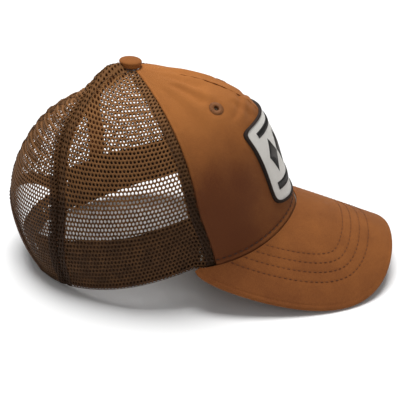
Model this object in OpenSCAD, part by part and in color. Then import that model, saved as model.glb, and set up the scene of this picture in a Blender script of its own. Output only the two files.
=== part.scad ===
// Six-panel trucker cap with two cloth front panels, four mesh panels,
// a curved visor, a sweatband and a two-strap peg closure at the back.
// Millimetres, +Z up, visor towards -Y, wearer's left towards +X.
// The origin is under the middle of the cap, on the surface it stands on.

/* [Crown] */
// Crown length from its widest section forward to the rim
crown_front = 106; // [100:1:112]
// Crown length from its widest section back to the rim
crown_back = 96; // [90:1:102]
// Half the crown's width at its widest section
crown_half_width = 80; // [76:1:84]
// Height of the crown's highest point
crown_height = 146; // [138:1:154]
// How far the highest point lies behind the widest section
apex_setback = 12.5; // [8:0.5:18]
// Height of the rim where the visor's corners meet it
corner_height = 31.5; // [29:0.5:36]
// Thickness of the cloth and mesh panels
panel_thickness = 1; // [0.8:0.1:1.2]
// Direction of the visor's corners, from straight ahead
visor_angle = 68; // [65:1:70]
// Direction of the front panel seams at the rim, from straight ahead
front_seam_angle = 59.5; // [57:0.5:62]
// Direction of the rear panel seams at the rim, from straight ahead
rear_seam_angle = 127; // [124:1:130]

/* [Visor] */
// Reach of the visor in front of the crown
visor_reach = 73; // [68:1:78]
// How far the visor swells beyond its corners
visor_swell = 13.5; // [10:0.5:18]
// Half the length of the visor's flatter front edge
visor_front_spread = 92; // [86:1:98]
// Fall of the visor from its corners to its tip, per millimetre of reach
visor_slope = 0.335; // [0.3:0.005:0.4]
// How steeply the visor's sides run down
visor_arch = 1; // [0.94:0.01:1.08]
// Width of the rounded top of the visor's arch
visor_arch_round = 58; // [52:1:64]
// Thickness of the visor's stiff board
board_thickness = 2; // [1.6:0.1:2.4]
// Thickness of each cloth cover of the visor
cover_thickness = 0.6; // [0.5:0.1:0.8]

/* [Linings] */
// Height of the sweatband
sweatband_height = 38; // [34:1:42]
// Height of the foam behind the sweatband at the forehead
foam_height = 30; // [26:1:32]
// Width of the tapes that cover the seams
tape_width = 12; // [10:0.5:13]

/* [Trims] */
// Diameter of the covered button
button_diameter = 15.5; // [14:0.5:17]
// Height of the covered button
button_height = 4.5; // [4:0.5:6]
// Outer diameter of the embroidered eyelets
eyelet_diameter = 10.5; // [9:0.5:11.5]
// Diameter of the eyelets' holes
eyelet_hole = 3.2; // [2.8:0.2:3.6]
// Direction of the patch's sides, from straight ahead
patch_angle = 24.5; // [22:0.5:28]

/* [Closure] */
// Half the angle of the rear opening, seen from above
opening_angle = 33; // [31:1:35]
// Part of the way up the back that the opening reaches
opening_reach = 0.24; // [0.21:0.01:0.26]
// Width of the plastic straps
strap_width = 18; // [16:1:19]
// Thickness of the plastic straps
strap_thickness = 1.2; // [1:0.1:1.3]
// Angle between neighbouring pegs or holes
peg_pitch = 6.8; // [6.4:0.1:7]
// Pegs on one strap, and holes in the other
peg_count = 7; // [6:1:7]
// Diameter of a peg at its foot
peg_diameter = 3; // [2.8:0.1:3.2]
// Diameter of a hole
hole_diameter = 4.6; // [4.4:0.1:4.8]

/* [Hidden] */

// Roundness of the crown's outline: 2 is an ellipse
outline_power = 1.88;
q = 2 / outline_power;
// Rim height's curve between the rear and the visor's corners
rim_power = 1.4;
// Side profiles of the crown as five-point curves: reach out, height
front_profile = [[1, 0], [0.82, 0.54], [0.79, 0.85], [0.615, 0.885], [0, 1]];
side_profile = [[1, 0], [0.99, 0.345], [1.01, 0.635], [0.445, 0.96], [0, 1]];
back_profile = [[1, 0], [1.34, 0.28], [1.2, 0.76], [0.18, 1], [0, 1]];

corner_forward = crown_front * pow(cos(visor_angle), q);
corner_side = crown_half_width * pow(sin(visor_angle), q);

// Layers, measured outwards from the crown's outer face
fabric_inner = -panel_thickness;
stiffener_outer = -1.2;
stiffener_inner = -1.8;
tape_outer = -2;
tape_inner = -2.6;
foam_outer = -2.9;
foam_inner = -4.5;
band_outer = -4.8;
band_inner = -5.8;
binding_proud = 0.5;
binding_foot = 5;
patch_low = 0.2;
patch_high = 1.2;
border_high = 1.9;
motif_high = 1.7;
cover_gap = 0.1;
board_half = board_thickness / 2;
cover_low = board_half + cover_gap;
cover_high = cover_low + cover_thickness;
visor_gap = 0.3;
// How far the board's edge lies inside the covers' edge
board_inset = 2;
// Where the visor's side begins to turn in towards its front edge, from its corner
visor_side_turn = [2, 71];

// Raises everything until the visor's lowest edge stands on the floor
lift = -min([for (i = [0 : 60]) visor_point(outer_edge(i / 120), -cover_high).z]);
// The rim's free corners beside the rear opening stand on the floor too
opening_share = (crown_back - crown_back * pow(cos(opening_angle), q)) / (crown_back + corner_forward);
opening_rise = pow(opening_share, rim_power);
rear_rim_height = -(lift + corner_height * opening_rise) / (1 - opening_rise);

// How far the crown's front rim tucks down behind the visor's edge
rim_tuck = 1.7;
tuck_angle = 8;
seam_gap = 0.12;

// How far the seams swing back on their way up, in degrees, the front one mostly at its foot
front_seam_foot = 4.5;
front_seam_sweep = 3;
rear_seam_sweep = 12;
// The panels leave a small hole for the button's post, and the tapes stop before they meet
panel_short = [0.025, 0.045, 0.07];
tape_short = [0.06, 0.11, 0.15];

thread_black = "#1d1512";
rust = "#a86430";
dark_brown = "#46301f";
strap_brown = "#2e2018";

// ---- Crown surface ----

// Point of a curve with any number of control points, 0 <= t <= 1
function curve(points, t) =
    len(points) == 1 ? points[0]
    : curve([for (i = [0 : len(points) - 2]) points[i] * (1 - t) + points[i + 1] * t], t);

function sag(side) =
    visor_arch * (sqrt(side * side + visor_arch_round * visor_arch_round) - visor_arch_round);

// Middle of the visor's thickness, over its plan
function visor_height(side, forward) =
    corner_height - visor_slope * (forward - corner_forward) - (sag(side) - sag(corner_side));

// Plan of the rim: direction 0 is straight ahead, 90 the wearer's left
function rim_side(a) = crown_half_width * pow(max(sin(a), 0), q);
function rim_forward(a) =
    cos(a) > 0 ? crown_front * pow(cos(a), q) : -crown_back * pow(-cos(a), q);
function rim_height(a, side, forward) =
    a < visor_angle
    ? visor_height(side, forward) - rim_tuck * min(1, (visor_angle - a) / tuck_angle)
    : rear_rim_height + (corner_height - rear_rim_height)
      * pow((forward + crown_back) / (corner_forward + crown_back), rim_power);

function profile(a) =
    let (across = sin(a) * sin(a), along = cos(a) > 0 ? front_profile : back_profile)
    side_profile * across + along * (1 - across);

function crown_half(a, t) =
    let (
        side = rim_side(a),
        forward = rim_forward(a),
        low = rim_height(a, side, forward),
        k = curve(profile(a), t)
    )
    [side * k.x, -apex_setback + (forward + apex_setback) * k.x, low + (crown_height - low) * k.y];

// Both halves: a negative direction is the wearer's right
function crown_side(a, t) =
    a < 0 ? let (p = crown_half(-a, t)) [-p.x, p.y, p.z] : crown_half(min(a, 360 - a), t);
function crown_point(a, t) =
    let (p = a > 180 ? crown_side(a - 360, t) : crown_side(a, t)) [p.x, -p.y, p.z];

function unit(v) = v / norm(v);
function crown_normal(a, t) =
    let (
        step = 0.004,
        turn = 0.4,
        low = max(t - step, 0),
        high = min(t + step, 1),
        along = crown_point(a + turn, t) - crown_point(a - turn, t),
        up = crown_point(a, high) - crown_point(a, low)
    )
    unit(cross(along, up));

// Where the middle of the whole cap lies, so that the origin is under it
back_reach = max([for (i = [0 : 20]) crown_point(180, i / 50).y]) + binding_proud;
front_lean = visor_slope / sqrt(1 + visor_slope * visor_slope);
tip_reach = crown_front + visor_reach + cover_high * front_lean;
middle = (tip_reach - back_reach) / 2;

// The visor's lowest edge stands on the floor with the rim's rear corners
function centred(p) = [p.x, p.y + middle, p.z + lift];

function on_crown(a, t, out) = centred(crown_point(a, t) + crown_normal(a, t) * out);

// Lengths on the crown for one degree round it and for one t up it
function round_speed(a, t) = norm(crown_point(a + 0.5, t) - crown_point(a - 0.5, t));
function up_speed(a) =
    let (low = 0.02, high = 0.12)
    norm(crown_point(a, high) - crown_point(a, low)) / (high - low);

// ---- Seams ----

function smooth(x) = let (s = min(1, max(0, x))) s * s * (3 - 2 * s);
function front_seam(t) = front_seam_angle + front_seam_foot * smooth(t / 0.3) + front_seam_sweep * t;
function rear_seam(t) = rear_seam_angle + rear_seam_sweep * smooth((t - 0.3) / 0.45);

// Top edge of a layer that stops short of the apex in front, at the side and behind
function top_edge(a, short) =
    let (across = sin(a) * sin(a))
    1 - across * short[1] - (1 - across) * (cos(a) > 0 ? short[0] : short[2]);
function panel_top(a) = top_edge(a, panel_short);
function tape_top(a) = top_edge(a, tape_short);

// ---- Solids made from two facing grids ----

function slab_faces(columns, rows) =
    let (
        line = rows + 1,
        side = (columns + 1) * line,
        quads = [for (i = [0 : columns - 1]) for (j = [0 : rows - 1]) i * line + j],
        ends = [for (j = [0 : rows - 1]) j],
        far = columns * line
    )
    concat(
        [for (k = quads) each [[k, k + 1, k + line + 1], [k, k + line + 1, k + line]]],
        [for (k = quads) each [
            [side + k, side + k + line + 1, side + k + 1],
            [side + k, side + k + line, side + k + line + 1]
        ]],
        [for (j = ends) each [[j, side + j, side + j + 1], [j, side + j + 1, j + 1]]],
        [for (j = ends) each [
            [far + j, side + far + j + 1, side + far + j],
            [far + j, far + j + 1, side + far + j + 1]
        ]],
        [for (i = [0 : columns - 1]) let (k = i * line) each [
            [k, side + k + line, side + k],
            [k, k + line, side + k + line]
        ]],
        [for (i = [0 : columns - 1]) let (k = i * line + rows) each [
            [k, side + k, side + k + line],
            [k, side + k + line, k + line]
        ]]
    );

module slab(outer, inner, columns, rows)
    polyhedron(points = concat(outer, inner), faces = slab_faces(columns, rows), convexity = 6);

// A sheet on the crown: at(u, v) gives a direction and a share of the way up
module crown_sheet(columns, rows, at, low, high) {
    spots = [for (i = [0 : columns]) for (j = [0 : rows]) at(i / columns, j / rows)];
    slab(
        [for (s = spots) on_crown(s.x, s.y, high)],
        [for (s = spots) on_crown(s.x, s.y, low)],
        columns, rows
    );
}

module both_sides(on_left) {
    if (on_left) children();
    else mirror([1, 0, 0]) children();
}

// ---- Crown panels ----

function mix(a, b, u) = a + (b - a) * u;

function front_spot(u, v) =
    let (t = v * panel_top(mix(0, front_seam(0), u)))
    [mix(seam_gap, front_seam(t) - seam_gap, u), t];
function side_spot(u, v) =
    let (t = v * panel_top(mix(front_seam(0), rear_seam(0), u)))
    [mix(front_seam(t) + seam_gap, rear_seam(t) - seam_gap, u), t];

// The opening's edge: e = 0 is its corner at the rim, 90 its top
function opening_spot(e, size) = [180 - opening_angle * size * cos(e), opening_reach * size * sin(e)];
// The back panel runs from the rear seam to the rim corner, then along the opening
opening_steps = 8;
rim_steps = 5;
function back_foot(k) =
    k < rim_steps
    ? [mix(rear_seam(0) + seam_gap, 180 - opening_angle, k / rim_steps), 0]
    : opening_spot((k - rim_steps) / opening_steps * 90, 1);
function back_spot(u, v) =
    let (
        foot = back_foot(round(u * (rim_steps + opening_steps))),
        share = (foot.x - rear_seam(0)) / (180 - rear_seam(0)),
        t = mix(foot.y, panel_top(foot.x), v),
        edge = rear_seam(t) + seam_gap
    )
    [mix(edge, 180 - seam_gap, share), t];

eyelet_direction = 32;
eyelet_rise = 0.65;
eyelet_foot = 0.3;
// Long enough to cut right through a panel or a strap
punch = 12;

module eyelet_place(out) {
    p = on_crown(eyelet_direction, eyelet_rise, out);
    n = crown_normal(eyelet_direction, eyelet_rise);
    translate(p) rotate([0, acos(n.z), atan2(n.y, n.x)]) children();
}

module front_panel(on_left) {
    color(rust) both_sides(on_left) difference() {
        crown_sheet(12, 16, function(u, v) front_spot(u, v), fabric_inner, 0);
        eyelet_place(0) cylinder(h = punch, d = eyelet_hole, center = true, $fn = 12);
    }
}

module side_panel(on_left) {
    color(dark_brown) both_sides(on_left)
        crown_sheet(12, 16, function(u, v) side_spot(u, v), fabric_inner, 0);
}

module back_panel(on_left) {
    color(dark_brown) both_sides(on_left)
        crown_sheet(rim_steps + opening_steps, 16, function(u, v) back_spot(u, v), fabric_inner, 0);
}

// The stiffener stops short of its panel's edges
stiffener_margin = 1;
stiffener_foot = 0.01;
stiffener_head = 0.92;

module stiffener(on_left) {
    color("#c9bda4") both_sides(on_left) difference() {
        crown_sheet(
            10, 14,
            function(u, v)
                let (t = mix(stiffener_foot, stiffener_head, v))
                [mix(stiffener_margin, front_seam(t) - stiffener_margin, u), t],
            stiffener_inner, stiffener_outer
        );
        eyelet_place(0) cylinder(h = punch, d = eyelet_hole, center = true, $fn = 12);
    }
}

// ---- Tapes, binding and bands ----

tape_foot = 0.02;

// A tape of even width along a seam, given as a direction for each t
module seam_tape(seam, foot) {
    top = tape_top(seam(0.9));
    crown_sheet(
        2, 16,
        function(u, v)
            let (t = mix(foot, top, v), a = seam(t))
            [a + (u - 0.5) * tape_width / round_speed(a, t), t],
        tape_inner, tape_outer
    );
}

module front_center_tape() color(dark_brown) seam_tape(function(t) 0, tape_foot);
module front_tape(way) color(dark_brown) seam_tape(function(t) way * front_seam(t), tape_foot);
module rear_tape(way) color(dark_brown) seam_tape(function(t) way * rear_seam(t), tape_foot);
module back_center_tape() color(dark_brown) seam_tape(function(t) 180, opening_reach + tape_foot);

// The binding's two edges, in shares of the opening's size
binding_shares = [0.87, 0.985];

module opening_binding() {
    color(dark_brown) crown_sheet(
        2 * opening_steps, 1,
        function(u, v)
            let (e = mix(binding_foot, 180 - binding_foot, u))
            opening_spot(e, mix(binding_shares[0], binding_shares[1], v)),
        fabric_inner, binding_proud
    );
}

module band(half_angle, foot, height, inner, outer, columns) {
    crown_sheet(
        columns, 3,
        function(u, v)
            let (a = mix(-half_angle, half_angle, u))
            [a, foot + v * height / up_speed(abs(a))],
        inner, outer
    );
}

// The linings stop short of the opening and of the visor's corners
lining_margin = 3;
band_foot = 0.008;
foam_foot = 0.02;

module sweatband() {
    half_angle = 180 - opening_angle - lining_margin;
    color(strap_brown) band(half_angle, band_foot, sweatband_height, band_inner, band_outer, 56);
}

module forehead_foam() {
    half_angle = visor_angle - lining_margin;
    color("#d8d2c4") band(half_angle, foam_foot, foam_height, foam_inner, foam_outer, 28);
}

// ---- Visor ----

function outer_edge(u) =
    let (
        tip = crown_front + visor_reach,
        corner = [corner_side, corner_forward],
        points = [
            corner,
            corner + [visor_swell, 2],
            corner + visor_side_turn,
            [visor_front_spread, tip],
            [0, tip]
        ],
        p = curve(points, 1 - abs(2 * u - 1))
    )
    [u < 0.5 ? -p.x : p.x, p.y];

function inner_edge(u, gap) =
    let (a = visor_angle * abs(2 * u - 1), s = u < 0.5 ? -1 : 1)
    [s * (rim_side(a) + gap * sin(a)), rim_forward(a) + gap * cos(a)];

function visor_normal(side) =
    unit([
        visor_arch * side / sqrt(side * side + visor_arch_round * visor_arch_round),
        -visor_slope,
        1
    ]);

function visor_point(plan, out) =
    [plan.x, -plan.y, visor_height(plan.x, plan.y)] + visor_normal(plan.x) * out;

// The visor's lower layers lean in under the crown's rim, and so start further out
steepest = visor_normal(corner_side);
visor_lean = norm([steepest.x, steepest.y]);

module visor_sheet(low, high, inset) {
    columns = 40;
    rows = 6;
    corner = 0.02;
    gap = visor_gap + visor_lean * max(0, -low);
    plans = [
        for (i = [0 : columns]) for (j = [0 : rows])
            let (
                u = mix(corner, 1 - corner, i / columns),
                inside = inner_edge(u, gap),
                outside = outer_edge(u),
                reach = 1 - inset / norm(outside - inside)
            )
            mix(inside, outside, (1 - j / rows) * reach)
    ];
    slab(
        [for (p = plans) centred(visor_point(p, high))],
        [for (p = plans) centred(visor_point(p, low))],
        columns, rows
    );
}

module visor_top_cover() color(rust) visor_sheet(cover_low, cover_high, 0);
module visor_board() color("#e6e2d8") visor_sheet(-board_half, board_half, board_inset);
module visor_bottom_cover() color(rust) visor_sheet(-cover_high, -cover_low, 0);

// ---- Button ----

button_foot = crown_height + 0.2;
shell_wall = 1;
post_radius = 1.2;
washer_top = crown_height - 4.2;
washer_thickness = 0.8;
washer_diameter = 11;
post_clearance = 0.05;

module at_apex() translate([0, apex_setback + middle, lift]) children();

// A low dome with a rounded edge, as a profile to turn about Z
module dome_profile(radius, height) {
    edge = height * 0.45;
    top_curve = radius * 2.2;
    intersection() {
        translate([0, height - top_curve]) circle(r = top_curve, $fn = 96);
        union() {
            square([radius - edge, height]);
            translate([0, edge]) square([radius - edge, height - edge]);
            square([radius, edge]);
            translate([radius - edge, edge]) circle(r = edge, $fn = 48);
        }
    }
}

module button_cover() {
    radius = button_diameter / 2;
    color(rust) at_apex() translate([0, 0, button_foot]) rotate_extrude($fn = 48) difference() {
        dome_profile(radius, button_height);
        dome_profile(radius - shell_wall, button_height - shell_wall);
    }
}

module button_shell() {
    gap = 0.1;
    radius = button_diameter / 2 - shell_wall - gap;
    height = button_height - shell_wall - gap;
    post_foot = washer_top - washer_thickness - 1;
    color("silver") at_apex() union() {
        translate([0, 0, button_foot]) rotate_extrude($fn = 48) dome_profile(radius, height);
        translate([0, 0, post_foot])
            cylinder(h = button_foot - post_foot + 1, r = post_radius, $fn = 32);
    }
}

module button_washer() {
    bore = post_radius + post_clearance;
    color("silver") at_apex() translate([0, 0, washer_top - washer_thickness]) difference() {
        cylinder(h = washer_thickness, d = washer_diameter, $fn = 48);
        translate([0, 0, -1]) cylinder(h = washer_thickness + 2, r = bore, $fn = 32);
    }
}

// ---- Eyelets ----

module eyelet(on_left) {
    ring_width = (eyelet_diameter - eyelet_hole) / 2;
    ring_height = 1.1;
    color(dark_brown) both_sides(on_left) eyelet_place(eyelet_foot) rotate_extrude($fn = 40)
        translate([eyelet_hole / 2 + ring_width / 2, 0]) intersection() {
            translate([-ring_width / 2, 0]) square([ring_width, ring_height]);
            translate([0, ring_height - ring_width]) circle(r = ring_width, $fn = 48);
        }
}

// ---- Patch ----

patch_foot = 0.047;
patch_head = 0.458;
// How much higher its sides lie than its middle, at its foot and at its head,
// as the flat patch bends round the crown
patch_bow = [0.05, 0.026];
patch_center = (patch_foot + patch_head) / 2;
patch_rise = (patch_head - patch_foot) / 2;

function patch_reach(t) = curve(profile(patch_angle), t).x;

// A place on the patch: -1 to 1 across it and -1 to 1 up it, as wide at its head as at its foot
function patch_spot(x, y) =
    let (
        bow = mix(patch_bow[0], patch_bow[1], (y + 1) / 2),
        t = patch_center + patch_rise * y + bow * x * x,
        across = abs(x) * patch_reach(patch_foot) / patch_reach(t)
    )
    [sign(x) * asin(min(1, pow(across, outline_power / 2) * sin(patch_angle))), t];

// Round-cornered outline of the patch, as a point for each share of the way round
corner_power = 11;
function patch_outline(turn, size) =
    let (
        c = cos(turn),
        s = sin(turn),
        r = size / pow(pow(abs(c), corner_power) + pow(abs(s), corner_power), 1 / corner_power)
    )
    [r * c, r * s];

module patch_ring(inside, outside, steps, low, high) {
    spots = [
        for (i = [0 : steps - 1]) for (size = [inside, outside])
            let (p = patch_outline(-i / steps * 360, size))
            patch_spot(p.x, p.y)
    ];
    outer = [for (s = spots) on_crown(s.x, s.y, high)];
    inner = [for (s = spots) on_crown(s.x, s.y, low)];
    side = len(spots);
    faces = [for (k = [0 : 2 : side - 2]) let (n = (k + 2) % side) each [
        [k, k + 1, n + 1], [k, n + 1, n],
        [side + k, side + n + 1, side + k + 1], [side + k, side + n, side + n + 1],
        [k, n, side + n], [k, side + n, side + k],
        [k + 1, side + k + 1, side + n + 1], [k + 1, side + n + 1, n + 1]
    ]];
    polyhedron(points = concat(outer, inner), faces = faces, convexity = 6);
}

// A quadrilateral on the patch, given by its four corners anticlockwise from low left
module patch_tile(corners, columns, rows, low, high) {
    crown_sheet(
        columns, rows,
        function(u, v)
            let (p = mix(mix(corners[0], corners[1], u), mix(corners[3], corners[2], u), v))
            patch_spot(p.x, p.y),
        low, high
    );
}

ground_size = 0.945;
border_size = 0.95;
border_steps = 96;

module patch_ground() {
    columns = 16;
    rows = 12;
    // The square's grid is pulled to the patch's round-cornered outline
    pull = function(x, y)
        norm([x, y]) < 0.01 ? [0, 0]
        : patch_outline(atan2(y, x), ground_size) * max(abs(x), abs(y));
    color("#e9e4da") crown_sheet(
        columns, rows,
        function(u, v) let (p = pull(2 * u - 1, 2 * v - 1)) patch_spot(p.x, p.y),
        patch_low, patch_high
    );
}

module patch_border() color(dark_brown) patch_ring(border_size, 1, border_steps, patch_low, border_high);

// Plain geometric motif: three lozenges between two bars, sized in shares of the patch
module patch_motif() {
    low = patch_high + 0.1;
    bar = [0.72, 0.08];
    bar_rise = 0.66;
    lozenge = [0.2, 0.42];
    lozenge_pitch = 0.48;
    color(thread_black) union() {
        for (y = [-bar_rise, bar_rise])
            patch_tile(
                [for (c = [[-1, -1], [1, -1], [1, 1], [-1, 1]]) [c.x * bar.x, y + c.y * bar.y]],
                12, 1, low, motif_high
            );
        for (x = [-lozenge_pitch, 0, lozenge_pitch])
            patch_tile(
                [for (c = [[0, -1], [1, 0], [0, 1], [-1, 0]]) [x + c.x * lozenge.x, c.y * lozenge.y]],
                4, 4, low, motif_high
            );
    }
}

// ---- Closure ----

// The straps are parts of one flared ring about this upright line
ring_forward = -36;
ring_radius = 61.3;
ring_middle = 12;
strap_lean = 14;
strap_gap = 0.3;
strap_foot = 2.5;
flex_angle = 30;
tab_angle = 50;
tip_margin = 5;
peg_slack = 0.2;
peg_height = strap_thickness + strap_gap + peg_slack;
peg_tip = 0.66;

module at_ring() translate([0, -ring_forward + middle, lift]) children();

// A stretch of strap between two directions, from the straight back towards +X
module strap_stretch(from, to, radius) {
    slope = tan(strap_lean);
    low = strap_foot;
    high = strap_foot + strap_width;
    r_low = radius + (low - ring_middle) * slope;
    r_high = radius + (high - ring_middle) * slope;
    rotate([0, 0, 90 - to]) rotate_extrude(angle = to - from, $fn = 96)
        polygon([
            [r_low, low], [r_low + strap_thickness, low],
            [r_high + strap_thickness, high], [r_high, high]
        ]);
}

// Puts a child at a direction on the ring, with its +Z square out of the strap
module at_peg(direction, radius)
    rotate([0, 0, 90 - direction])
        translate([radius, 0, strap_foot + strap_width / 2])
            rotate([0, 90 + strap_lean, 0]) children();

peg_ring = ring_radius - strap_thickness;
hole_ring = ring_radius + strap_gap;
first_peg = -2 * peg_pitch;
strap_reach = 2 * peg_pitch + tip_margin;

// The hole strap is sewn in on the wearer's left, the peg strap on the right
module hole_strap() {
    color(strap_brown) at_ring() difference() {
        strap_stretch(-strap_reach, flex_angle, hole_ring);
        for (i = [0 : peg_count - 1])
            at_peg(first_peg + i * peg_pitch, hole_ring)
                cylinder(h = punch, d = hole_diameter, center = true, $fn = 32);
    }
}

module peg_strap() {
    overlap = 0.3;
    color(strap_brown) at_ring() union() {
        strap_stretch(-flex_angle, strap_reach, peg_ring);
        for (i = [0 : peg_count - 1])
            at_peg(-first_peg - i * peg_pitch, ring_radius - overlap)
                cylinder(
                    h = peg_height + overlap,
                    d1 = peg_diameter, d2 = peg_diameter * peg_tip, $fn = 32
                );
    }
}

module hole_strap_tab() color(strap_brown) at_ring() strap_stretch(flex_angle, tab_angle, hole_ring);
module peg_strap_tab() color(strap_brown) at_ring() strap_stretch(-tab_angle, -flex_angle, peg_ring);

front_panel(true);  // front_panel_left
front_panel(false);  // front_panel_right
side_panel(true);  // side_panel_left
side_panel(false);  // side_panel_right
back_panel(true);  // back_panel_left
back_panel(false);  // back_panel_right
stiffener(true);  // stiffener_left
stiffener(false);  // stiffener_right
front_center_tape();
front_tape(1);  // front_tape_left
front_tape(-1);  // front_tape_right
rear_tape(1);  // rear_tape_left
rear_tape(-1);  // rear_tape_right
back_center_tape();
opening_binding();
sweatband();
forehead_foam();
visor_top_cover();
visor_board();
visor_bottom_cover();
button_cover();
button_shell();
button_washer();
eyelet(true);  // eyelet_left
eyelet(false);  // eyelet_right
patch_ground();
patch_border();
patch_motif();
hole_strap_tab();
peg_strap_tab();
hole_strap();
peg_strap();
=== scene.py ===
"""A six-panel trucker cap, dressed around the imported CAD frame.

Lengths are in millimetres until a mesh is made, which is in metres.
Directions round the crown are degrees from straight ahead, positive on the wearer's left.
"""
import math

import bpy
import numpy as np
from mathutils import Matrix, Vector


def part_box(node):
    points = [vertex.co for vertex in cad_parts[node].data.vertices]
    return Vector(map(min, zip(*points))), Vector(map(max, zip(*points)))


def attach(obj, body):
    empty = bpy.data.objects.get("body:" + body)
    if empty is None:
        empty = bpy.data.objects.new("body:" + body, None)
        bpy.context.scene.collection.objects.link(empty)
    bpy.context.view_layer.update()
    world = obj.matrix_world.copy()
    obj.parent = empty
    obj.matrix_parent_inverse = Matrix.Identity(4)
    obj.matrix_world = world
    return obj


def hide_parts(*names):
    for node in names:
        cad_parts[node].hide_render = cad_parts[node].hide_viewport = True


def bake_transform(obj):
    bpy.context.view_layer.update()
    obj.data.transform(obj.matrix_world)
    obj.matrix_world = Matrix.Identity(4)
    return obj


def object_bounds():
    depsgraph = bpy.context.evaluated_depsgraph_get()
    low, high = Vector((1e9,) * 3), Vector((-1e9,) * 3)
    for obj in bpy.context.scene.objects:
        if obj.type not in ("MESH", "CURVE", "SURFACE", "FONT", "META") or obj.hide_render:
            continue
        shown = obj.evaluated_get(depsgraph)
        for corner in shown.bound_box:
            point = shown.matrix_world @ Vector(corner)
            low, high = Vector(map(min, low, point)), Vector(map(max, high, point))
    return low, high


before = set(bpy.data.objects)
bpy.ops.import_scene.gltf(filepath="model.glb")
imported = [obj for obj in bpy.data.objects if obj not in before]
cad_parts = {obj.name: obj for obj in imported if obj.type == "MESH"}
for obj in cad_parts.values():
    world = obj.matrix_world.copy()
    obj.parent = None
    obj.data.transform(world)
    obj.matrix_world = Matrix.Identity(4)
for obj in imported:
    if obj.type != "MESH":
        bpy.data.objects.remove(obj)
cad_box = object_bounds()
MM, PER_METRE = 0.001, 1000
SIDES = ((1, "left"), (-1, "right"))

# ---- The cap's shape, as the CAD part has it ----

# Lengths round the crown, angles of its corners and seams, and the powers of its curves. A profile's
# points are the share of the rim's reach and of the way up, from the rim to the button
CROWN_FRONT, CROWN_BACK, HALF_WIDTH, HEIGHT = 106, 96, 80, 146
APEX_SETBACK, CORNER_HEIGHT, VISOR_ANGLE, FRONT_SEAM, REAR_SEAM = 12.5, 31.5, 68, 59.5, 127
VISOR_REACH, VISOR_SWELL, FRONT_SPREAD = 73, 13.5, 92
VISOR_SLOPE, VISOR_ARCH, ARCH_ROUND = 0.335, 1.0, 58
VISOR_SIDE_TURN = (2, 71)
OUTLINE_POWER, RIM_POWER = 1.88, 1.4
Q = 2 / OUTLINE_POWER
FRONT_PROFILE = [(1, 0), (0.82, 0.54), (0.79, 0.85), (0.615, 0.885), (0, 1)]
SIDE_PROFILE = [(1, 0), (0.99, 0.345), (1.01, 0.635), (0.445, 0.96), (0, 1)]
BACK_PROFILE = [(1, 0), (1.34, 0.28), (1.2, 0.76), (0.18, 1), (0, 1)]
OPENING_ANGLE, OPENING_REACH = 33, 0.24
VISOR_HALF = 1.7
RIM_TUCK, TUCK_ANGLE = 1.7, 8
EYELET_AT = (32.0, 0.65)
PATCH_ANGLE, PATCH_FOOT, PATCH_HEAD, PATCH_POWER = 24.5, 0.047, 0.458, 11
PATCH_BOW = (0.050, 0.026)

# The rim's front centre is known in both frames, which gives the cap's middle
MIDDLE = PER_METRE * cad_box[0][1] + CROWN_FRONT + VISOR_REACH \
    + VISOR_HALF * VISOR_SLOPE / math.hypot(1, VISOR_SLOPE)
CORNER_FORWARD = CROWN_FRONT * math.cos(math.radians(VISOR_ANGLE)) ** Q
CORNER_SIDE = HALF_WIDTH * math.sin(math.radians(VISOR_ANGLE)) ** Q


def sind(a):
    return np.sin(np.radians(a))


def cosd(a):
    return np.cos(np.radians(a))


def mix(a, b, u):
    return a + (b - a) * u


def smooth(x):
    s = np.clip(x, 0, 1)
    return s * s * (3 - 2 * s)


def bell(x, middle, width):
    return np.exp(-((x - middle) / width) ** 2)


def norm(v):
    return np.linalg.norm(v, axis=-1)


def unit(v):
    return v / np.maximum(norm(v)[..., None], 1e-9)


def spaced(count):
    return np.linspace(0, 1, count + 1)


def grid(a, b):
    return np.meshgrid(a, b, indexing="ij")


def circle(steps):
    """The angles of a full turn in equal steps, in radians."""
    return np.arange(steps) / steps * 2 * math.pi


def distances(line):
    """How far along a line of points each of them lies."""
    return np.concatenate([[0], np.cumsum(norm(np.diff(line, axis=0)))])


def curve(points, t):
    points = list(points)
    while len(points) > 1:
        points = [p * (1 - t) + r * t for p, r in zip(points[:-1], points[1:])]
    return points[0]


def sag(side):
    return VISOR_ARCH * (np.hypot(side, ARCH_ROUND) - ARCH_ROUND)


def visor_height(side, forward):
    return CORNER_HEIGHT - VISOR_SLOPE * (forward - CORNER_FORWARD) - (sag(side) - sag(CORNER_SIDE))


def outer_edge(u):
    """The visor's outline in plan, from its right corner to its left one."""
    tip, corner = CROWN_FRONT + VISOR_REACH, np.array((CORNER_SIDE, CORNER_FORWARD))
    points = [corner, corner + (VISOR_SWELL, 2), corner + VISOR_SIDE_TURN,
              np.array((FRONT_SPREAD, tip)), np.array((0.0, tip))]
    p = curve(points, (1 - np.abs(2 * u - 1))[..., None])
    return np.stack([np.where(u < 0.5, -1, 1) * p[..., 0], p[..., 1]], -1)


def visor_point(plan, out):
    """A place on the visor before the cap is stood on its floor, and the outward normal there."""
    side, forward = plan[..., 0], plan[..., 1]
    normal = unit(np.stack([VISOR_ARCH * side / np.hypot(side, ARCH_ROUND),
                            np.full_like(side, -VISOR_SLOPE), np.ones_like(side)], -1))
    base = np.stack([side, MIDDLE - forward, visor_height(side, forward)], -1)
    return base + normal * np.asarray(out)[..., None], normal


def rear_rim_height():
    share = CROWN_BACK * (1 - math.cos(math.radians(OPENING_ANGLE)) ** Q) / (CROWN_BACK + CORNER_FORWARD)
    rise = share ** RIM_POWER
    return -(LIFT + CORNER_HEIGHT * rise) / (1 - rise)


# The visor's lowest edge stands on the floor, with the rim's corners beside the rear opening
LIFT = -visor_point(outer_edge(np.linspace(0, 0.5, 61)), -VISOR_HALF)[0][:, 2].min()
REAR_RIM = rear_rim_height()


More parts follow.
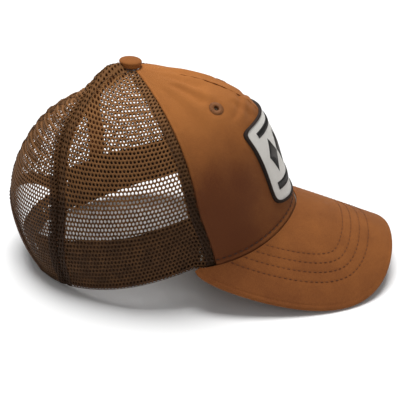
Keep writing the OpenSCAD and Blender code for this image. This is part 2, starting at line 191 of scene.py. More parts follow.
def rim(a):
    side = HALF_WIDTH * np.maximum(sind(a), 0) ** Q
    c = cosd(a)
    forward = np.where(c > 0, CROWN_FRONT, CROWN_BACK) * np.sign(c) * np.abs(c) ** Q
    share = np.clip((forward + CROWN_BACK) / (CORNER_FORWARD + CROWN_BACK), 0, None)
    back = REAR_RIM + (CORNER_HEIGHT - REAR_RIM) * share ** RIM_POWER
    tuck = RIM_TUCK * np.clip((VISOR_ANGLE - a) / TUCK_ANGLE, 0, 1)
    low = np.where(a < VISOR_ANGLE, visor_height(side, forward) - tuck, back)
    return side, forward, low


def bare_crown(a, t):
    a = (np.asarray(a, float) + 180) % 360 - 180
    t = np.asarray(t, float)
    a, t = np.broadcast_arrays(a, t)
    sign, a = np.where(a < 0, -1, 1), np.abs(a)
    side, forward, low = rim(a)
    across, ahead = sind(a) ** 2, cosd(a) > 0
    reach, rise = [
        curve([across * s[i] + (1 - across) * np.where(ahead, f[i], b[i])
               for f, s, b in zip(FRONT_PROFILE, SIDE_PROFILE, BACK_PROFILE)], t)
        for i in (0, 1)
    ]
    forward = -APEX_SETBACK + (forward + APEX_SETBACK) * reach
    return np.stack([sign * side * reach, MIDDLE - forward, LIFT + low + (HEIGHT - low) * rise], -1)


def crown_normal(a, t, turn=0.4, step=0.004):
    along = bare_crown(a + turn, t) - bare_crown(a - turn, t)
    up = bare_crown(a, np.clip(t + step, 0, 1)) - bare_crown(a, np.clip(t - step, 0, 1))
    return unit(np.cross(along, up))


def slack(a, t):
    """How far the soft crown stands out of, or hangs into, its ideal shape, in millimetres."""
    # Each fold has a height, and a middle and width in degrees and in share of the way up
    a = (a + 180) % 360 - 180
    side = np.abs(a)
    ridge = 9.0 * bell(a, -138, 20) * bell(t, 0.86, 0.12) + 3.0 * bell(a, -136, 14) * bell(t, 0.62, 0.14)
    hollow = 5.0 * smooth((side - 152) / 18) * bell(t, 0.76, 0.13)
    hollow += 6.0 * bell(a, 140, 26) * bell(t, 0.74, 0.16)
    dip = 1.2 * bell(side, 98, 14) * bell(t, 0.42, 0.16)
    ripple = np.sin(a / 7 + 9 * t) * smooth((side - 74) / 10) * smooth(t / 0.3) * smooth((0.95 - t) / 0.2)
    fold = np.sin(132 * t + 0.6 * np.sin(a / 9)) * smooth((side - 138) / 10) * bell(t, 0.62, 0.17)
    foot = 1.5 * bell(side, 138, 16) * bell(t, 0.14, 0.1) * smooth((side - 100) / 20)
    out = ridge - hollow - dip + 0.4 * ripple + 1.25 * fold + foot
    return out * smooth((0.995 - t) / 0.07) * smooth(t / 0.1)


def crown(a, t, out=0.0):
    a, t = np.broadcast_arrays(np.asarray(a, float), np.asarray(t, float))
    return bare_crown(a, t) + crown_normal(a, t) * (slack(a, t) + out)[..., None]


def front_seam(t):
    return FRONT_SEAM + 4.5 * smooth(t / 0.3) + 3 * t


def rear_seam(t):
    return REAR_SEAM + 12 * smooth((t - 0.3) / 0.45)


def panel_top(a):
    across = sind(a) ** 2
    return 1 - across * 0.045 - (1 - across) * np.where(cosd(a) > 0, 0.025, 0.07)


def up_speed(a, low=0.02, high=0.12):
    """Millimetres for the whole way up, at the pace near the rim."""
    return norm(bare_crown(a, high) - bare_crown(a, low)) / (high - low)


def round_speed(a, t):
    """Millimetres for one degree round the crown."""
    return norm(bare_crown(a + 0.5, t) - bare_crown(a - 0.5, t))


# ---- Materials ----

def nodes_of(name):
    material = bpy.data.materials.new(name)
    material.use_nodes = True
    tree = material.node_tree
    return material, tree, tree.nodes["Principled BSDF"]


def node(tree, kind, inputs=(), **settings):
    """A shader node. An input that is another node's output is linked, and any other is its value."""
    made = tree.nodes.new(kind)
    for key, value in settings.items():
        setattr(made, key, value)
    for key, value in dict(inputs).items():
        if isinstance(value, bpy.types.NodeSocket):
            tree.links.new(value, made.inputs[key])
        else:
            made.inputs[key].default_value = value
    return made


def maths(tree, operation, a, b=0.0):
    return node(tree, "ShaderNodeMath", {0: a, 1: b}, operation=operation).outputs[0]


def tint(tree, low, high, amount):
    """A colour between two, by a number from 0 to 1."""
    made = node(tree, "ShaderNodeMix", {"Factor": amount}, data_type="RGBA")
    made.inputs["A"].default_value = (*low, 1)
    made.inputs["B"].default_value = (*high, 1)
    return made.outputs["Result"]


def noise(tree, place, scale, detail=3.0):
    sockets = {"Vector": place, "Scale": scale, "Detail": detail}
    return node(tree, "ShaderNodeTexNoise", sockets).outputs["Fac"]


def attribute(tree, name, output):
    return node(tree, "ShaderNodeAttribute", attribute_name=name).outputs[output]


def weighted(tree, start, *terms):
    """A number or an output, with other outputs added, each times its weight."""
    for output, weight in terms:
        sockets = {0: output, 1: weight, 2: start}
        start = node(tree, "ShaderNodeMath", sockets, operation="MULTIPLY_ADD").outputs[0]
    return start


def set_surface(tree, surface, colours, amount, height, strength, depth, **settings):
    """Gives the shader a colour between two, a bump of a depth in millimetres, and constant settings."""
    clamped = node(tree, "ShaderNodeClamp", {"Value": amount}).outputs[0]
    tree.links.new(tint(tree, *colours, clamped), surface.inputs["Base Color"])
    bump = node(tree, "ShaderNodeBump", {"Height": height, "Strength": strength, "Distance": depth * MM})
    tree.links.new(bump.outputs[0], surface.inputs["Normal"])
    for name, value in settings.items():
        surface.inputs[name.replace("_", " ")].default_value = value


def cloth_material(name, deep, pale, pitch=0.75, relief=0.07, sheen=0.25,
                   sheen_tint=(1, 1, 1), twill=True, mottle=0.5):
    """Woven cloth. The weave follows the piece's own cut, whose millimetres are in the attribute cut."""
    material, tree, surface = nodes_of(name)
    # The wear attribute tints the cloth: real wear together with painted light and shade
    cut, wear_and_shading = attribute(tree, "cut", "Vector"), attribute(tree, "wear_and_shading", "Fac")
    across, along, _ = node(tree, "ShaderNodeSeparateXYZ", {0: cut}).outputs

    def wave(place):
        return maths(tree, "SINE", maths(tree, "MULTIPLY", place, 2 * math.pi / pitch))
    if twill:
        weave = weighted(tree, wave(weighted(tree, across, (along, 0.62))), (wave(along), 0.35))
    else:
        weave = maths(tree, "MULTIPLY", wave(across), wave(along))
    place = node(tree, "ShaderNodeTexCoord").outputs["Object"]
    drawn_out = node(tree, "ShaderNodeVectorMath", {0: cut, 1: (0.5, 3.2, 1)}, operation="MULTIPLY")
    cloud, fuzz = noise(tree, place, 55, 4.0), noise(tree, place, 2600, 2.0)
    slub = noise(tree, drawn_out.outputs[0], 0.9)
    amount = weighted(tree, 0.25 - mottle, (cloud, mottle), (slub, mottle), (weave, 0.11),
                      (fuzz, 0.5), (wear_and_shading, 1))
    set_surface(tree, surface, (deep, pale), amount, weighted(tree, weave, (fuzz, 1.4)), 0.55, relief,
                Roughness=0.86, Sheen_Weight=sheen, Sheen_Roughness=0.5, Sheen_Tint=(*sheen_tint, 1),
                Specular_IOR_Level=0.25)
    return material


def thread_material(name, deep, pale, rough=0.55, sheen=0.1, twist=5200, gloss=0.3):
    """Sewing or embroidery thread: fine twisted fibre with a soft shine."""
    material, tree, surface = nodes_of(name)
    # The wear attribute tints the thread: painted light and shade on the mesh
    wear_and_shading = attribute(tree, "wear_and_shading", "Fac")
    place = node(tree, "ShaderNodeTexCoord").outputs["Object"]
    fibre, cloud = noise(tree, place, twist, 2.0), noise(tree, place, 120, 2.0)
    amount = weighted(tree, wear_and_shading, (fibre, 0.6), (cloud, 0.4))
    set_surface(tree, surface, (deep, pale), amount, fibre, 0.4, 0.05, Roughness=rough, Sheen_Weight=sheen,
                Sheen_Tint=(1.0, 0.7, 0.5, 1), Specular_IOR_Level=gloss)
    return material


def moulded_material(name, deep, pale, rough=0.42, metal=0.0):
    """Moulded plastic or pressed metal with a fine grain and uneven gloss."""
    material, tree, surface = nodes_of(name)
    place = node(tree, "ShaderNodeTexCoord").outputs["Object"]
    fine, cloud = noise(tree, place, 900), noise(tree, place, 60, 2.0)
    set_surface(tree, surface, (deep, pale), cloud, fine, 0.25, 0.03, Metallic=metal)
    tree.links.new(weighted(tree, rough - 0.09, (fine, 0.18)), surface.inputs["Roughness"])
    return material


WARM = (1.0, 0.6, 0.34)
DUCK = cloth_material("duck_cloth", (0.100, 0.024, 0.0035), (0.44, 0.155, 0.032), sheen=0.08,
                      sheen_tint=WARM, mottle=0.34)
MESH = thread_material("mesh_cloth", (0.028, 0.012, 0.0040), (0.30, 0.135, 0.046), rough=0.65,
                       sheen=0.04, twist=3000, gloss=0.12)
TAPE = cloth_material("seam_tape", (0.10, 0.030, 0.009), (0.34, 0.115, 0.036), pitch=0.9, relief=0.1,
                      sheen=0.1, sheen_tint=WARM, twill=False)
BINDING = cloth_material("binding_tape", (0.026, 0.010, 0.004), (0.100, 0.041, 0.018), pitch=0.9, relief=0.1,
                         sheen=0.1, sheen_tint=WARM, twill=False)
BAND = cloth_material("sweatband_cloth", (0.030, 0.012, 0.005), (0.095, 0.040, 0.018), pitch=0.9, relief=0.09,
                      sheen=0.1, sheen_tint=(1.0, 0.65, 0.4))
BUCKRAM = cloth_material("buckram", (0.32, 0.26, 0.18), (0.66, 0.58, 0.45), pitch=1.3, relief=0.16,
                         twill=False)
FOAM = cloth_material("foam", (0.5, 0.46, 0.38), (0.75, 0.7, 0.6), pitch=1.7, relief=0.1, twill=False)
PATCH = cloth_material("patch_twill", (0.46, 0.44, 0.40), (0.80, 0.77, 0.72), pitch=0.6, relief=0.08,
                       mottle=0.35)
EDGE_THREAD = thread_material("patch_edge_thread", (0.006, 0.0028, 0.0015), (0.028, 0.012, 0.006), sheen=0.03)
MOTIF_THREAD = thread_material("patch_motif_thread", (0.005, 0.005, 0.005), (0.022, 0.021, 0.020),
                               rough=0.5, sheen=0.03)
EYELET_THREAD = thread_material("eyelet_thread", (0.13, 0.045, 0.010), (0.34, 0.13, 0.038))
SEW_THREAD = thread_material("sewing_thread", (0.040, 0.009, 0.002), (0.115, 0.032, 0.007), sheen=0.02)
DARK_THREAD = thread_material("dark_sewing_thread", (0.016, 0.006, 0.003), (0.060, 0.023, 0.010), sheen=0.05)
PLASTIC = moulded_material("strap_plastic", (0.022, 0.010, 0.006), (0.035, 0.018, 0.011))
BOARD = moulded_material("board", (0.72, 0.68, 0.60), (0.85, 0.82, 0.75), rough=0.6)
STEEL = moulded_material("button_metal", (0.45, 0.45, 0.45), (0.62, 0.62, 0.62), rough=0.35, metal=1.0)

# ---- Mesh building ----

def piece(name, points, faces, material, replaces=(), body="crown", cut=None, wear_and_shading=None):
    """One object from points in millimetres, riding on a body and standing for CAD nodes."""
    mesh = bpy.data.meshes.new(name)
    mesh.from_pydata((np.asarray(points, float) * MM).tolist(), [], [tuple(f) for f in faces])
    mesh.validate()
    mesh.materials.append(material)
    mesh.shade_smooth()
    if cut is not None:
        made = mesh.attributes.new("cut", "FLOAT_VECTOR", "POINT")
        flat = np.zeros((len(mesh.vertices), 3), np.float32)
        flat[:, :2] = cut
        made.data.foreach_set("vector", flat.ravel())
    # The wear attribute holds real wear together with painted light and shade, which shift the colour
    if wear_and_shading is not None:
        made = mesh.attributes.new("wear_and_shading", "FLOAT", "POINT")
        made.data.foreach_set("value", np.asarray(wear_and_shading, np.float32))
    thing = bpy.data.objects.new(name, mesh)
    bpy.context.scene.collection.objects.link(thing)
    if body:
        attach(thing, body)
    if replaces:
        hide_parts(*replaces)
    return thing


def declare_sheet(face):
    """Measures a cloth's grid of points on one face: its greatest width and length, and its area reckoned
    from two corners of each cell; nothing is done with them.
    """
    wide, tall = np.diff(face, axis=0), np.diff(face, axis=1)
    width, length = norm(wide).sum(0).max(), norm(tall).sum(1).max()
    first = norm(np.cross(wide[:, :-1], tall[:-1])).sum()
    second = norm(np.cross(wide[:, 1:], tall[1:])).sum()


def grid_quads(columns, rows):
    i, j = grid(np.arange(columns), np.arange(rows))
    k = (i * (rows + 1) + j).ravel()
    return np.stack([k, k + rows + 1, k + rows + 2, k + 1], 1)


def tube_faces(rings, sides):
    """Faces of an open tube whose points go round each ring in turn."""
    k, s = [index.ravel() for index in grid(np.arange(rings - 1) * sides, np.arange(sides))]
    n = (s + 1) % sides
    return np.stack([k + s, k + n, k + sides + n, k + sides + s], 1)


def shell_faces(columns, rows, holes=None):
    """Faces of a closed shell: an outer grid, an inner one and the four edges."""
    line, count = rows + 1, (columns + 1) * (rows + 1)
    outer = grid_quads(columns, rows)
    if holes is not None:
        outer = outer[~holes]
    last = columns * line
    rim_pairs = [pair for j in range(rows) for pair in ((j, j + 1), (last + j + 1, last + j))]
    rim_pairs += [pair for k in range(0, last, line) for pair in ((k + line, k), (k + rows, k + rows + line))]
    edges = [(p, q, count + q, count + p) for p, q in rim_pairs]
    return np.concatenate([outer, outer[:, ::-1] + count, np.array(edges)])


def shell(name, outer, inner, material, replaces, cut, wear_and_shading=None, holes=None,
          flip=False, sheet=True):
    """A closed cloth between two grids of points, whose cut and wear, with any painted light and shade, go
    with both.
    """
    faces = shell_faces(outer.shape[0] - 1, outer.shape[1] - 1, holes)
    if flip:
        faces = faces[:, ::-1]
    if wear_and_shading is not None:
        wear_and_shading = np.tile(wear_and_shading.ravel(), 2)
    made = piece(name, np.stack([outer, inner]).reshape(-1, 3), faces, material, replaces,
                 cut=np.tile(cut.reshape(-1, 2), (2, 1)), wear_and_shading=wear_and_shading)
    if sheet:
        declare_sheet(outer)
    return made


def band(name, rings, cut, outside, material, replaces):
    """A cloth band: a grid of points along it and round its section, of which the first are outside."""
    columns, ring = len(rings) - 1, rings.shape[1]
    faces = tube_faces(columns + 1, ring).tolist()
    faces += [tuple(range(ring))[::-1], tuple(columns * ring + k for k in range(ring))]
    made = piece(name, rings.reshape(-1, 3), faces, material, replaces, cut=cut.reshape(-1, 2))
    declare_sheet(rings[:, :outside])


# Inner and outer face of each layer of the crown, in millimetres out of its ideal shape
FRONT_LAYER, BUCKRAM_LAYER, TAPE_LAYER, FOAM_LAYER = (-0.8, -0.1), (-1.7, -1.2), (-2.4, -1.9), (-4.4, -2.9)


def crown_cloth(name, at, columns, rows, layer, material, replaces,
                relief=None, hole=None, wear_and_shading=None, origin=None, sheet=True):
    """A closed cloth shell on the crown. at(u, v) gives direction and share of the way up."""
    a, t = at(*grid(spaced(columns), spaced(rows)))
    raise_by = relief(a, t) if relief else 0.0
    inner, outer = [crown(a, t, out + raise_by) for out in layer]
    middle = (a[:1] + a[-1:]) / 2 if origin is None else origin
    cut = np.stack([(a - middle) * round_speed(a, t), t * up_speed(a)], -1)
    holes = None
    if hole:
        centre, radius = hole
        holes = (norm((outer[:-1, :-1] + outer[1:, 1:]) / 2 - centre) < radius).ravel()
    return shell(name, outer, inner, material, replaces, cut, wear_and_shading and wear_and_shading(a, t), holes,
                 sheet=sheet)


def stitches(name, rows, material, slot, stitch=2.7, gap=0.9, radius=0.2):
    """Running stitches. Each row is a line of points with the outward normal at each."""
    # Along one stitch, which dives into the cloth at both ends: place, height and thickness
    rings, sides = np.array([0, 0.12, 0.35, 0.65, 0.88, 1.0]), 6
    rise = np.array([-0.9, 0.1, 0.75, 0.75, 0.1, -0.9]) * radius
    thick = np.array([0.6, 0.95, 1, 1, 0.95, 0.6]) * radius
    turn = circle(sides)[:, None]
    each = len(rings) * sides
    ends = np.arange(sides)[::-1], np.arange(each - sides, each)
    caps = [end[corners] for end in ends for corners in ([0, 1, 2, 3], [0, 3, 4, 5])]
    one = np.concatenate([tube_faces(len(rings), sides), caps])
    points, faces, start = [], [], 0
    for line, normal in rows:
        length = distances(line)
        count = max(1, int(length[-1] / (stitch + gap)))
        begin = (np.arange(count) + 0.1) * length[-1] / count
        where = np.minimum(begin[:, None] + rings * stitch, length[-1])
        p, n = [np.stack([np.interp(where, length, v[:, i]) for i in range(3)], -1) for v in (line, normal)]
        n = unit(n)
        side = unit(np.cross(n, unit(p[:, -1:] - p[:, :1] + 1e-9)))
        spoke = side[:, :, None] * np.cos(turn) + n[:, :, None] * np.sin(turn)
        ring = (p + n * rise[:, None])[:, :, None] + thick[:, None, None] * spoke
        points.append(ring.reshape(-1, 3))
        faces.append((start + np.arange(count)[:, None, None] * each + one).reshape(-1, 4))
        start += count * each
    return piece(name, np.concatenate(points), np.concatenate(faces), material)


def crown_line(a, t, out):
    return crown(a, t, out), crown_normal(a, t)


# ---- Front panels ----

EYELET_CENTRE = {side: crown(side * EYELET_AT[0], EYELET_AT[1], 0.0) for side, _ in SIDES}
# Radius of the hole cut for an eyelet in the cloth and in the buckram
EYELET_CUT, BUCKRAM_CUT = 1.7, 2.6
# Height of the small puckers beside a seam
PUCKER = 0.10


def crease(a, t, start, end, depth, width):
    """A furrow with a raised side, along the line between two places on the crown."""
    scale = np.array([round_speed(start[0], start[1]), up_speed(start[0])])
    begin, line = np.array(start) * scale, (np.array(end) - start) * scale
    span = norm(line)
    gap = np.stack([a, t], -1) * scale - begin
    along = gap @ line / span ** 2
    away = (gap[..., 0] * line[1] - gap[..., 1] * line[0]) / span
    fade = smooth((along + 0.3) / 0.35) * smooth((1.3 - along) / 0.35)
    return depth * fade * (0.75 * bell(away, 1.5 * width, width) - bell(away, 0, width))


# Each crease runs between two places: direction as on the wearer's left, share of the way up
CREASES = {
    -1: [((37, 0.83), (34, 0.713), 1.3, 3.2), ((8.5, 0.857), (6.5, 0.673), 0.55, 4.2),
         ((0.5, 0.61), (25.5, 0.56), 0.9, 3.8), ((52, 0.80), (50, 0.60), 0.8, 3.8),
         ((22, 0.90), (19, 0.79), 1.0, 3.0), ((17, 0.62), (14, 0.50), 0.7, 3.4)],
    1: [((40, 0.84), (36, 0.72), 1.2, 3.2), ((14, 0.86), (10, 0.70), 1.0, 3.2),
        ((4, 0.58), (27, 0.53), 0.8, 3.8), ((55, 0.78), (48, 0.62), 0.8, 3.8)],
}


def drape(a, t):
    """Soft folds of the front panels in millimetres, which the layers behind them follow."""
    away = np.abs(a)
    soft = 0.35 * np.sin((away - 30) / 7.5 + 14 * (t - 0.8)) * bell(t, 0.84, 0.09)
    soft -= 0.8 * bell(away + 26 * (t - 0.6), 40, 4.5) * bell(t, 0.52, 0.17)
    soft += 0.5 * bell(away - 20 * t, 44, 5) * bell(t, 0.28, 0.18)
    soft += 0.22 * np.sin(away / 5.2 + 11 * t) * np.sin(7 * t + away / 13) * smooth(t / 0.15)
    right, left = [sum(crease(away, t, *c) for c in CREASES[side]) for side in (-1, 1)]
    folds = np.where(a < 0, right, left)
    return (soft + folds) * smooth((0.985 - t) / 0.08) * smooth((72 - away) / 8)


def front_relief(side):
    """Sewn ridges, seam puckers and soft folds of a front panel."""
    def relief(a, t):
        away = np.abs(a)
        up = t * up_speed(a)
        ridge = 0.75 * smooth((5.2 - up) / 1.2) * smooth((VISOR_ANGLE - away) / 4)
        groove = -0.45 * bell(up, 5.6, 0.7) * smooth((VISOR_ANGLE + 2 - away) / 3)
        seam = (front_seam(t) - away) * round_speed(a, t)
        centre = away * round_speed(a, t)
        pucker = PUCKER * np.sin(up / 1.6 + 2.0 * np.sin(up / 9)) * np.exp(-seam / 4.0)
        pucker += PUCKER * np.sin(up / 1.4 + 1.3 * side) * np.exp(-centre / 4.0)
        turned_edge = 0.55 * smooth(seam / 0.9) - 0.45 + 0.35 * bell(seam, 3.2, 2.6)
        middle_seam = -0.28 * np.exp(-(centre / 0.9) ** 2)
        spot = norm(bare_crown(side * away, t) - EYELET_CENTRE[side])
        dimple = -0.55 * bell(spot, 0, 5.5) + 0.18 * bell(spot, 8.0, 2.0)
        calm = smooth((0.985 - t) / 0.08)
        return ridge + groove + (pucker + turned_edge + middle_seam) * calm + dimple + drape(a, t)
    return relief


def front_fade_light_and_shade(a, t):
    """Paler at the sewn edges; painted light makes it paler towards the top, and painted shade darkens the
    groove and the panel low down.
    """
    up = t * up_speed(a)
    seam = (front_seam(t) - np.abs(a)) * round_speed(a, t)
    # Painted light: paler towards the top, where the light falls; also paler at the sewn edges
    edge_fade_and_painted_light = 0.10 * bell(up, 4.2, 1.2) + 0.06 * bell(seam, 1.2, 1.0) + 0.30 * smooth((t - 0.50) / 0.3)
    # Painted shade in the groove above the rim and over the panel low down
    painted_shade = 0.22 * bell(up, 5.7, 0.7)
    painted_shade += (0.56 - 0.24 * smooth((48 - np.abs(a)) / 18)) * smooth((0.60 - t) / 0.34)
    return edge_fade_and_painted_light - painted_shade


def front_panel(side, label):
    def at(u, v):
        t = v * panel_top(mix(0, front_seam(0), u))
        a = mix(0.12, front_seam(t) - 0.12, u)
        return side * a[::side], t[::side]
    crown_cloth(f"front_cloth_{label}", at, 110, 170, FRONT_LAYER, DUCK,
                [f"front_panel_{label}"], relief=front_relief(side),
                hole=(EYELET_CENTRE[side], EYELET_CUT), wear_and_shading=front_fade_light_and_shade, origin=0)


def buckram(side, label):
    def at(u, v):
        t = mix(0.01, 0.93, v)
        a = mix(1.0, front_seam(t) - 1, u)
        return side * a[::side], t[::side]
    crown_cloth(f"buckram_{label}", at, 60, 90, BUCKRAM_LAYER, BUCKRAM,
                [f"stiffener_{label}"], relief=drape, hole=(EYELET_CENTRE[side], BUCKRAM_CUT), origin=0)


# ---- Mesh panels ----

HOLE_PITCH, ROW_PITCH, HOLE_WIDE, HOLE_TALL, STRAND = 2.60, 2.95, 1.74, 1.98, 0.32
# The panels' edges are folded under beside their seams, which doubles the mesh there
FOLD_WIDTH, FOLD_DEPTH, FOLD_SHIFT = 6.6, 0.62, (0.28 * HOLE_PITCH, 0.24 * ROW_PITCH)
# A strand's rings, from the hole to the cell's edge: share of the way, and share of the strand's height
RING_SHARES, RING_LIFTS = (0.0, 0.30, 1.0), (0.0, 0.80, 1.0)


class PanelCut:
    """Lays a panel's flat cut, in millimetres from its middle line and its foot, on the crown."""

    def __init__(self, low_edge, high_edge, top, rows=120, columns=60):
        self.t = np.linspace(0, top, rows)
        self.a = mix(low_edge(self.t)[:, None], high_edge(self.t)[:, None], np.linspace(0, 1, columns))
        self.points = bare_crown(self.a, self.t[:, None])
        steps = np.cumsum(norm(np.diff(self.points, axis=1)), 1)
        run = np.concatenate([np.zeros((rows, 1)), steps], 1)
        self.run = run - run[:, -1:] / 2
        self.up = distances(self.points[:, columns // 2])

    def place(self, s, up):
        """Direction and share of the way up at places on the cut."""
        t = np.interp(up, self.up, self.t)
        level = np.clip(np.interp(up, self.up, np.arange(len(self.t))), 0, len(self.t) - 1.001)
        row = level.astype(int)
        a = np.zeros(len(s))
        for k in np.unique(row):
            chosen = row == k
            low, high = [np.interp(s[chosen], self.run[i], self.a[i]) for i in (k, k + 1)]
            a[chosen] = mix(low, high, level[chosen] - k)
        return a, t

    def half_width(self, up):
        return np.interp(up, self.up, self.run[:, -1])


def mesh_cells(width, height):
    """The middles of staggered six-sided cells, and one cell's rings of points, from its oval hole out."""
    flat = ROW_PITCH / 2 - HOLE_PITCH ** 2 / (8 * ROW_PITCH)
    half, tip = HOLE_PITCH / 2, ROW_PITCH - flat
    corner = [(half, 0), (half, flat), (half / 2, (flat + tip) / 2), (0, tip),
              (-half / 2, (flat + tip) / 2), (-half, flat)]
    edge = np.array(corner + [(-x, -y) for x, y in corner])
    turn = np.arctan2(edge[:, 1], edge[:, 0])
    hole = np.stack([HOLE_WIDE / 2 * np.cos(turn), HOLE_TALL / 2 * np.sin(turn)], 1)
    cell = np.stack([mix(hole, edge, share) for share in RING_SHARES])
    rows, columns = int(height / ROW_PITCH) + 2, int(width / HOLE_PITCH) + 3
    centres = np.array([((i - columns / 2 + 0.5 * (j % 2)) * HOLE_PITCH, (j + 0.3) * ROW_PITCH)
                        for j in range(rows) for i in range(columns + 1)])
    return centres, cell


def mesh_panel(name, low_edge, high_edge, top, side, node_name, opening=False):
    cut = PanelCut(low_edge, high_edge, top)
    height = cut.up[-1]
    centres, cell = mesh_cells(2 * np.max(np.abs(cut.run)), height)
    # Only cells whose middle lies on the panel
    a, t = cut.place(*centres.T)
    reach, off = cut.half_width(centres[:, 1]), np.abs(centres[:, 0])
    keep = (off < reach + 0.3) & (centres[:, 1] < height + 0.5)
    if opening:
        keep &= np.hypot((180 - a) / OPENING_ANGLE, t / OPENING_REACH) > 1.0
    single, doubled = centres[keep], centres[keep & (off > reach - FOLD_WIDTH)] + FOLD_SHIFT
    centres = np.concatenate([single, doubled])
    flat = centres[:, None, None] + cell  # By cell, ring and corner
    count, rings, corners = flat.shape[:3]
    each = rings * corners
    wobble = 0.10 * np.sin(flat[..., 1] * 0.9 + flat[..., 0] * 0.37)
    flat = flat + np.stack([wobble, 0.08 * np.sin(flat[..., 0] * 0.8 + flat[..., 1] * 0.21)], -1)
    s, up = flat.reshape(-1, 2).T
    a, t = cut.place(s, up)
    if opening:
        x, y = (180 - a) / OPENING_ANGLE, t / OPENING_REACH
        push = np.where(np.hypot(x, y) < 1, 1 / np.maximum(np.hypot(x, y), 1e-6), 1)
        a, t = 180 - x * push * OPENING_ANGLE, y * push * OPENING_REACH
    # The folded edge makes a faint step on the outside where it ends
    edge = np.repeat(cut.half_width(centres[:, 1]), each) - np.abs(s)
    step = 0.28 * smooth((FOLD_WIDTH + 0.8 - edge) / 1.6) + 0.18 * bell(edge, FOLD_WIDTH - 0.6, 0.9)
    dip = 0.75 * np.exp(-np.maximum(edge, 0) / 1.1)
    depth = np.repeat(np.repeat([0, FOLD_DEPTH], [len(single), len(doubled)]), each)
    middle = -0.5 + step - dip - depth
    lift = np.tile(np.repeat(np.array(RING_LIFTS) * STRAND, corners), count)
    lift = lift + np.where(lift > 0, 0.05 * np.sin(s * 6.3) * np.sin(up * 5.1), 0)
    points = [crown(side * a, t, middle + way * lift) for way in (1, -1)]
    quads = np.roll(tube_faces(rings, corners)[:, ::-1], 1, axis=1)
    quads = quads.reshape(rings - 1, 1, corners, 4) + (np.arange(count) * each)[:, None, None]
    front = quads.reshape(-1, 4)[:, ::side]
    faces = np.concatenate([front, front[:, ::-1] + count * each])
    points, faces, source = welded(np.concatenate(points), faces)
    # Painted shade: the doubled mesh beside the seams is darker, and so is the mesh low down; painted light
    # makes the mesh paler towards the top
    painted_light_and_shade = -0.26 * smooth((FOLD_WIDTH + 0.5 - edge) / 1.0)
    painted_light_and_shade += 0.36 * smooth((t - 0.50) / 0.30) - 0.36 * smooth((0.54 - t) / 0.36)
    made = piece(name, points, faces, MESH, [node_name],
                 cut=np.tile(np.stack([s, up], 1), (2, 1))[source], wear_and_shading=np.tile(painted_light_and_shade, 2)[source])
    declare_sheet(cut.points)


def welded(points, faces, grain=0.004):
    """Joins points that share a place and drops what collapses. The last result says which points stay."""
    key = np.round(points / grain).astype(np.int64)
    _, source, index = np.unique(key, axis=0, return_index=True, return_inverse=True)
    faces = [tuple(dict.fromkeys(face)) for face in index.reshape(-1)[faces].tolist()]
    faces = [face for corners in (4, 3) for face in faces if len(face) == corners]
    used = sorted({k for face in faces for k in face})
    place = {k: i for i, k in enumerate(used)}
    source = source[used]
    return points[source], [tuple(place[k] for k in face) for face in faces], source


def mesh_panels():
    for side, label in SIDES:
        mesh_panel(f"side_mesh_{label}", lambda t: front_seam(t) + 0.12, lambda t: rear_seam(t) - 0.12,
                   0.955, side, f"side_panel_{label}")
        mesh_panel(f"back_mesh_{label}", lambda t: rear_seam(t) + 0.12, lambda t: 179.9 + 0 * t,
                   0.94, side, f"back_panel_{label}", opening=True)


# ---- Tapes, binding, sweatband and foam ----

TAPE_WIDTH = 12.0


def tape(name, seam, foot, top, node_name):
    def at(u, v):
        t = mix(foot, top, v)
        a = seam(t)
        return a + (u - 0.5) * TAPE_WIDTH / round_speed(a, t), t

    def relief(a, t):
        return PUCKER * np.sin(t * 150) + drape(a, t)
    crown_cloth(name, at, 10, 120, TAPE_LAYER, TAPE, [node_name], relief=relief)


def tapes():
    tape("center_front_tape", lambda t: 0 * t, 0.01, 0.955, "front_center_tape")
    for side, label in SIDES:
        tape(f"front_side_tape_{label}", lambda t: side * (front_seam(t) + 0.8), 0.01, 0.93,
             f"front_tape_{label}")
        tape(f"rear_side_tape_{label}", lambda t: side * rear_seam(t), 0.01, 0.93, f"rear_tape_{label}")
    tape("center_back_tape", lambda t: 180 + 0 * t, OPENING_REACH + 0.012, 0.90, "back_center_tape")


def opening_spot(e, size):
    return 180 - OPENING_ANGLE * size * cosd(e), OPENING_REACH * size * sind(e)


def opening_binding():
    """A folded tape over the opening's edge: its section runs outside, over the edge and inside."""
    section = [(1.13, 0.18), (1.125, 0.42), (1.02, 0.5), (0.97, 0.25), (0.955, -0.5), (0.97, -1.25),
               (1.02, -1.5), (1.125, -1.42), (1.13, -1.18), (1.02, -1.12), (0.995, -0.9), (0.99, -0.5),
               (0.995, -0.1), (1.02, 0.12)]
    e = np.linspace(2, 178, 121)
    rings = np.stack([crown(*opening_spot(e, size), out) for size, out in section], 1)
    cut = np.stack(grid(e * 0.8, np.arange(len(section)) * 1.5), -1)
    band("opening_binding_tape", rings, cut, 8, BINDING, ["opening_binding"])
    a, t = opening_spot(np.linspace(4, 176, 160), 1.09)
    rows = [(crown(a, t, out), crown_normal(a, t) * way) for out, way in ((0.5, 1), (-1.5, -1))]
    stitches("opening_binding_stitches", rows, DARK_THREAD, "seam_tape")


BAND_END, BAND_HEIGHT, PAD_HEIGHT = 180 - OPENING_ANGLE - 3, 38, 30


def band_point(a, up, out):
    """A place on the inside band; a negative height hangs just under the rim."""
    p = crown(a, np.maximum(up, 0) / up_speed(a), out)
    p[..., 2] += np.minimum(up, 0)
    return p


